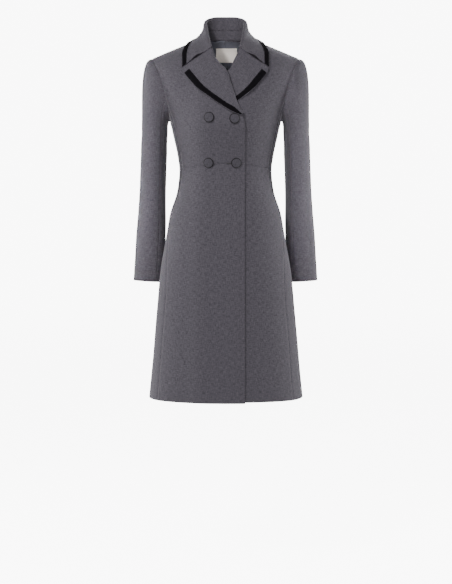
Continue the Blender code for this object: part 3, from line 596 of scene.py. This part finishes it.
def label_stitches():
    """Short stitches round the label, a little in from its edge."""
    face = cloth_grid("neck_label", "in")
    face = smooth_along(face, False, 2)
    face = smooth_along(face.transpose(1, 0, 2), False, 2).transpose(1, 0, 2)
    normals = face_normals(face)
    across, up = run_along(face, 0)[0], run_along(face, 1)[0]
    width, height = across[-1].mean(), up[:, -1].mean()
    parts = []

    def place(u, v):
        i = np.clip(np.searchsorted(across[:, 0], u), 1, len(across) - 1)
        j = np.clip(np.searchsorted(up[0], v), 1, up.shape[1] - 1)
        s = (u - across[i - 1, 0]) / (across[i, 0] - across[i - 1, 0])
        t = (v - up[0, j - 1]) / (up[0, j] - up[0, j - 1])
        low = face[i - 1, j - 1] * (1 - s) + face[i, j - 1] * s
        high = face[i - 1, j] * (1 - s) + face[i, j] * s
        return low * (1 - t) + high * t, normals[i, j]

    low, right, top = STITCH_INSET, width - STITCH_INSET, height - STITCH_INSET
    corners = [(low, low), (right, low), (right, top), (low, top)]
    for start, end in zip(corners, corners[1:] + corners[:1], strict=True):
        length = math.dist(start, end)
        count = int(length / STITCH_PITCH)
        for n in range(count):
            ends = []
            for k in (n * STITCH_PITCH, n * STITCH_PITCH + STITCH_LENGTH):
                share = (k + (length - count * STITCH_PITCH) / 2) / length
                u, v = (a + (b - a) * share for a, b in zip(start, end, strict=True))
                ends.append(place(u, v))
            path = np.array([ends[0][0], (ends[0][0] + ends[1][0]) / 2, ends[1][0]])
            stitch = bar_along(path, [ends[0][1]] * len(path), STITCH_WIDTH, STITCH_HEIGHT, STITCH_SUNK)
            parts.append(stitch)
    bars("label_stitches", parts, label_thread)


def buttonhole_stitches():
    """The worked buttonhole: a low ridge of thread along the waist seam, half under its button, in black
    thread as painted shadow of the hole's slit.
    """
    face = shaped_faces["right_front_bodice"]
    normals = face_normals(face)[:, 0]
    seam = face[:, 0]
    order = np.argsort(seam[:, 0])
    at = np.linspace(HOLE_FROM, HOLE_TO, HOLE_POINTS)
    path, outward = (
        np.stack([np.interp(at, seam[order, 0], values[order, k]) for k in range(3)], axis=-1)
        for values in (seam, normals)
    )
    parts = [bar_along(path, outward, HOLE_WIDTH, HOLE_HEIGHT, HOLE_SUNK)]
    bars("buttonhole_stitches", parts, buttonhole_thread_painted_shadow)


# Finishes
WAVE_SCALE = math.tau / 20  # a wave texture of this scale has one band to a metre


def linear(hex_colour):
    """An sRGB hex colour as the linear colour that a shader takes."""
    values = [int(hex_colour[i : i + 2], 16) / 255 for i in (1, 3, 5)]
    return (*(v / 12.92 if v <= 0.04045 else ((v + 0.055) / 1.055) ** 2.4 for v in values), 1.0)


def add_node(made, kind, values=(), feeds=(), **settings):
    """One shader node with its settings, its own socket values and the outputs that feed it."""
    node = made.node_tree.nodes.new(kind)
    for name, value in settings.items():
        setattr(node, name, value)
    for socket, value in dict(values).items():
        node.inputs[socket].default_value = value
    for socket, source in dict(feeds).items():
        made.node_tree.links.new(source, node.inputs[socket])
    return node


def start_finish(name, **values):
    """A new material and its shader, with the shader's constant values set."""
    made = bpy.data.materials.new(name)
    made.use_nodes = True
    shader = made.node_tree.nodes["Principled BSDF"]
    for socket, value in values.items():
        shader.inputs[socket.replace("_", " ")].default_value = value
    return made, shader


def colour_between(made, shader, dark, light, share, socket="Base Color"):
    """Colours a surface between two colours, by a share that varies over it."""
    mix = add_node(
        made, "ShaderNodeMixRGB", {"Color1": linear(dark), "Color2": linear(light)}, {"Fac": share}
    )
    made.node_tree.links.new(mix.outputs["Color"], shader.inputs[socket])


def raise_grain(made, shader, height, strength, distance):
    """Gives a surface a fine relief, no higher than a distance in metres."""
    bump = add_node(made, "ShaderNodeBump", {"Strength": strength, "Distance": distance}, {"Height": height})
    made.node_tree.links.new(bump.outputs["Normal"], shader.inputs["Normal"])


def woven_grey_wool(name, dark, light):
    # Worsted wool suiting of light and dark yarns, woven, fulled and pressed. It is matt, with a fine crossed
    # grain where a yarn is thicker or paler, and a soft bloom of fibre ends at a grazing angle.
    made, shader = start_finish(name, Roughness=0.86, Sheen_Weight=0.22, Sheen_Roughness=0.45, IOR=1.45)
    shader.inputs["Specular IOR Level"].default_value = 0.25
    shader.inputs["Sheen Tint"].default_value = linear("#d9d7de")
    grain = add_node(made, "ShaderNodeUVMap", uv_map="grain").outputs["UV"]
    # Thick places in the yarns are 0.6 mm wide and 8 mm long; drawn 1.8 by 11 mm, to show from afar.
    weft = add_node(made, "ShaderNodeMapping", {"Scale": (1 / 0.011, 1 / 0.0018, 1)}, {"Vector": grain})
    warp = add_node(made, "ShaderNodeMapping", {"Scale": (1 / 0.0018, 1 / 0.011, 1)}, {"Vector": grain})
    slubs = []
    for way in (weft, warp):
        noise = {"Scale": 1.0, "Detail": 2.0, "Roughness": 0.6}
        slubs.append(add_node(made, "ShaderNodeTexNoise", noise, {"Vector": way.outputs["Vector"]}))
    both = {0: slubs[0].outputs["Fac"], 1: slubs[1].outputs["Fac"]}
    crossed = add_node(made, "ShaderNodeMath", feeds=both, operation="ADD").outputs[0]
    # Single picks of light and dark yarn are 0.5 mm; drawn 1.5 mm.
    picks = add_node(made, "ShaderNodeTexNoise", {"Scale": 1 / 0.0015, "Detail": 1.0}, {"Vector": grain})
    both = {0: picks.outputs["Fac"], 2: crossed}
    speckled = add_node(made, "ShaderNodeMath", {1: 0.5}, both, operation="MULTIPLY_ADD").outputs[0]
    share = add_node(made, "ShaderNodeMapRange", {"From Min": 0.85, "From Max": 1.65}, {"Value": speckled})
    colour_between(made, shader, dark, light, share.outputs["Result"])
    # Yarns lie 0.6 mm apart; drawn 1.2 mm.
    threads = []
    for way in ("X", "Y"):
        scale = {"Scale": WAVE_SCALE / 0.0012, "Distortion": 0.6, "Detail": 1.0}
        threads.append(add_node(made, "ShaderNodeTexWave", scale, {"Vector": grain}, bands_direction=way))
    both = {0: threads[0].outputs["Fac"], 1: threads[1].outputs["Fac"]}
    weave = add_node(made, "ShaderNodeMath", feeds=both, operation="MULTIPLY").outputs[0]
    both = {0: weave, 2: crossed}
    height = add_node(made, "ShaderNodeMath", {1: 0.6}, both, operation="MULTIPLY_ADD")
    raise_grain(made, shader, height.outputs[0], 0.35, 0.0006)
    return made


def black_velvet():
    # Cotton velvet: cut loops stand up as a short dense pile that swallows light, with faint paler patches
    # where the pile leans.
    made, shader = start_finish(
        "black_cotton_velvet_pile", Roughness=0.95, Sheen_Weight=0.05, Sheen_Roughness=0.3, IOR=1.45
    )
    shader.inputs["Specular IOR Level"].default_value = 0.1
    shader.inputs["Sheen Tint"].default_value = linear("#8d8894")
    grain = add_node(made, "ShaderNodeUVMap", uv_map="grain").outputs["UV"]
    leaning = add_node(made, "ShaderNodeTexNoise", {"Scale": 1 / 0.009, "Detail": 3.0}, {"Vector": grain})
    colour_between(made, shader, "#040305", "#0c0a0e", leaning.outputs["Fac"])
    # Tufts of pile are 0.3 mm apart; drawn 0.8 mm.
    tufts = add_node(made, "ShaderNodeTexNoise", {"Scale": 1 / 0.0008, "Detail": 1.0}, {"Vector": grain})
    raise_grain(made, shader, tufts.outputs["Fac"], 0.5, 0.0005)
    return made


def satin_lining():
    # Viscose satin lining: long floating yarns lie side by side, so it has a soft streaked gloss.
    made, shader = start_finish(
        "blue_grey_viscose_satin", Roughness=0.38, Sheen_Weight=0.05, IOR=1.5, Anisotropic=0.35
    )
    shader.inputs["Specular IOR Level"].default_value = 0.35
    grain = add_node(made, "ShaderNodeUVMap", uv_map="grain").outputs["UV"]
    # Floats are 0.2 mm wide; drawn as streaks of 1.5 by 25 mm.
    streaks = add_node(made, "ShaderNodeMapping", {"Scale": (1 / 0.0015, 1 / 0.025, 1)}, {"Vector": grain})
    noise = add_node(
        made, "ShaderNodeTexNoise", {"Scale": 1.0, "Detail": 2.0}, {"Vector": streaks.outputs["Vector"]}
    )
    colour_between(made, shader, "#4c4c56", "#686973", noise.outputs["Fac"])
    raise_grain(made, shader, noise.outputs["Fac"], 0.15, 0.0003)
    return made


def ivory_label():
    # Woven polyester label tape, heat-set flat: ivory, smooth, with fine ribs across it.
    made, shader = start_finish("ivory_polyester_label_woven", Roughness=0.6, Sheen_Weight=0.1, IOR=1.5)
    grain = add_node(made, "ShaderNodeUVMap", uv_map="grain").outputs["UV"]
    # Ribs are 0.25 mm apart; drawn 0.9 mm.
    ribs = add_node(
        made,
        "ShaderNodeTexWave",
        {"Scale": WAVE_SCALE / 0.0009, "Distortion": 0.4},
        {"Vector": grain},
        bands_direction="Y",
    )
    colour_between(made, shader, "#ece1d8", "#fbf4ec", ribs.outputs["Fac"])
    raise_grain(made, shader, ribs.outputs["Fac"], 0.25, 0.0003)
    return made


def sewing_thread(name, dark, light):
    # Spun polyester sewing thread: twisted from two plies, which show as fine patches, and a little glossy.
    made, shader = start_finish(name, Roughness=0.55, IOR=1.5)
    place = add_node(made, "ShaderNodeTexCoord").outputs["Object"]
    twist = add_node(made, "ShaderNodeTexNoise", {"Scale": 1 / 0.0006, "Detail": 1.0}, {"Vector": place})
    colour_between(made, shader, dark, light, twist.outputs["Fac"])
    return made


def white_floor():
    # White vinyl studio floor, matt, lit from below towards its rim, so that it runs into the dome unseen.
    made, shader = start_finish("white_vinyl_floor_lit", Roughness=0.85, IOR=1.45)
    shader.inputs["Emission Color"].default_value = linear("#ffffff")
    place = add_node(made, "ShaderNodeTexCoord").outputs["Object"]
    stipple = add_node(made, "ShaderNodeTexNoise", {"Scale": 40.0, "Detail": 2.0}, {"Vector": place})
    colour_between(made, shader, "#f4f4f4", "#fbfbfb", stipple.outputs["Fac"])
    away = add_node(made, "ShaderNodeVectorMath", feeds={0: place}, operation="LENGTH")
    glow = add_node(
        made,
        "ShaderNodeMapRange",
        {"From Min": FLOOR_NEAR, "From Max": FLOOR_FAR, "To Min": FLOOR_GLOW, "To Max": DOME_GLOW},
        {"Value": away.outputs["Value"]},
        interpolation_type="SMOOTHSTEP",
    )
    made.node_tree.links.new(glow.outputs["Result"], shader.inputs["Emission Strength"])
    return made


def white_dome():
    # White translucent studio dome lit from outside: an even white behind the coat from every side.
    made, shader = start_finish("white_translucent_dome_lit", Roughness=0.9, Emission_Strength=DOME_GLOW)
    place = add_node(made, "ShaderNodeTexCoord").outputs["Object"]
    uneven = add_node(made, "ShaderNodeTexNoise", {"Scale": 0.3, "Detail": 1.0}, {"Vector": place})
    colour_between(made, shader, "#fbfbfb", "#ffffff", uneven.outputs["Fac"], "Emission Color")
    return made


satin = satin_lining()
label_thread = sewing_thread("off_white_spun_thread", "#c9beb2", "#dcd3c8")
# The buttonhole's black thread is painted shadow: it stands for the dark slit of the hole.
buttonhole_thread_painted_shadow = sewing_thread("black_spun_thread_painted_hole_shadow", "#060507", "#131115")
# The buttons' cloth is drawn tight, in a wool a little darker than the coat's; their rim is a near-black copy
# of it, painted shade of the rounded rim and painted shadow round the button.
button_wool = woven_grey_wool("grey_worsted_wool_drawn_tight", "#28262b", "#46434a")
button_rim_painted_shade = woven_grey_wool("grey_worsted_wool_painted_rim_shade", "#09080b", "#151317")
wool = woven_grey_wool("grey_worsted_wool_woven", "#2b292f", "#4f4b52")
finish = {"wool": wool, "velvet": black_velvet(), "satin": satin, "label": ivory_label()}

# The pieces
cuts = [(f"{hand}_{cut.name}", hand, cut) for cut in PAIRED_CUTS for hand in ("right", "left")]
cuts += [(cut.name, "", cut) for cut in SINGLE_CUTS]
for node, hand, cut in cuts:
    cloth_piece(cut, node)
for node in BUTTONS:
    covered_button(node)
label_stitches()
buttonhole_stitches()

# Floor, light and camera
FLOOR_Z, FLOOR_GLOW, DOME_RADIUS, DOME_GLOW = -1.45, 8.0, 14.0, 9.0
FLOOR_NEAR, FLOOR_FAR = 1.5, DOME_RADIUS * 0.8  # between these the floor's glow goes over to the dome's
# The room's light low down and overhead, and the slopes of the view between which it changes.
ROOM_LOW, ROOM_HIGH, ROOM_FROM, ROOM_TO = 0.45, 0.05, -0.1, 0.6
floor_mesh = bpy.data.meshes.new("studio_floor")
work = bmesh.new()
bmesh.ops.create_circle(work, cap_ends=True, segments=96, radius=DOME_RADIUS)
work.to_mesh(floor_mesh)
floor = add_object("studio_floor", floor_mesh, white_floor())
floor.location.z = FLOOR_Z
dome_mesh = bpy.data.meshes.new("studio_dome")
work.clear()
bmesh.ops.create_uvsphere(work, u_segments=64, v_segments=32, radius=DOME_RADIUS)
work.to_mesh(dome_mesh)
work.free()
dome = add_object("studio_dome", dome_mesh, white_dome())
# Dome and floor are only looked at: their light, from all round, would wash out the shadows under the lapels.
for backdrop in (floor, dome):
    backdrop.visible_diffuse = backdrop.visible_glossy = backdrop.visible_shadow = False

world = bpy.data.worlds.new("white studio")
world.use_nodes = True
world.node_tree.nodes["Background"].inputs["Color"].default_value = linear("#ffffff")
# The white room is bright low down and all round, and dim overhead, so that the shoulders aren't washed out.
direction = add_node(world, "ShaderNodeTexCoord").outputs["Generated"]
upwards = add_node(world, "ShaderNodeSeparateXYZ", feeds={"Vector": direction}).outputs["Z"]
room = add_node(
    world,
    "ShaderNodeMapRange",
    {"From Min": ROOM_FROM, "From Max": ROOM_TO, "To Min": ROOM_LOW, "To Max": ROOM_HIGH},
    {"Value": upwards},
    interpolation_type="SMOOTHSTEP",
)
world.node_tree.links.new(room.outputs["Result"], world.node_tree.nodes["Background"].inputs["Strength"])
bpy.context.scene.world = world


def soft_box(name, place, aim, width, height, power, spread=180):
    """An area light: sizes and places in metres, power in watts, spread in degrees."""
    light = bpy.data.lights.new(name, "AREA")
    light.shape = "RECTANGLE"
    light.size = width
    light.size_y = height
    light.energy = power
    light.spread = math.radians(spread)
    made = bpy.data.objects.new(name, light)
    made.location = place
    made.rotation_euler = (Vector(aim) - Vector(place)).to_track_quat("-Z", "Y").to_euler()
    bpy.context.scene.collection.objects.link(made)


soft_box("key soft box", (-1.15, -2.45, 1.3), (0, 0, -0.5), 0.3, 0.3, 92)
soft_box("front soft box", (0.0, -4.6, -0.4), (0, 0, -0.5), 2.6, 2.2, 142)
soft_box("left strip box", (-2.2, 0.45, -0.6), (-0.2, 0, -0.5), 0.7, 2.4, 66)
soft_box("right strip box", (2.2, 0.45, -0.6), (0.2, 0, -0.5), 0.7, 2.4, 74)
# Two boxes with honeycombs, which keep their light on the sleeves.
soft_box("left sleeve box", (-1.3, -2.6, -0.4), (-0.42, 0, -0.34), 0.2, 0.5, 1.9, spread=12)
soft_box("right sleeve box", (1.3, -2.6, -0.4), (0.42, 0, -0.34), 0.2, 0.5, 1.9, spread=12)
soft_box("back soft box", (0.7, 3.0, 2.0), (0, 0, -0.4), 1.2, 1.2, 70)

# The photograph is 452 by 584 pixels; the lens axis is level, and off its middle by some pixels.
PHOTO_LONG, AXIS_UP, AXIS_LEFT = 584, 82, 0.5
CAMERA_PLACE, LENS = (0, -3.8, -0.459), 86.75
camera = bpy.data.objects.new("camera", bpy.data.cameras.new("camera"))
camera.location = CAMERA_PLACE
camera.rotation_euler = (math.pi / 2, 0, 0)
camera.data.lens = LENS
camera.data.shift_x = AXIS_LEFT / PHOTO_LONG
camera.data.shift_y = -AXIS_UP / PHOTO_LONG
bpy.context.scene.collection.objects.link(camera)
bpy.context.scene.camera = camera
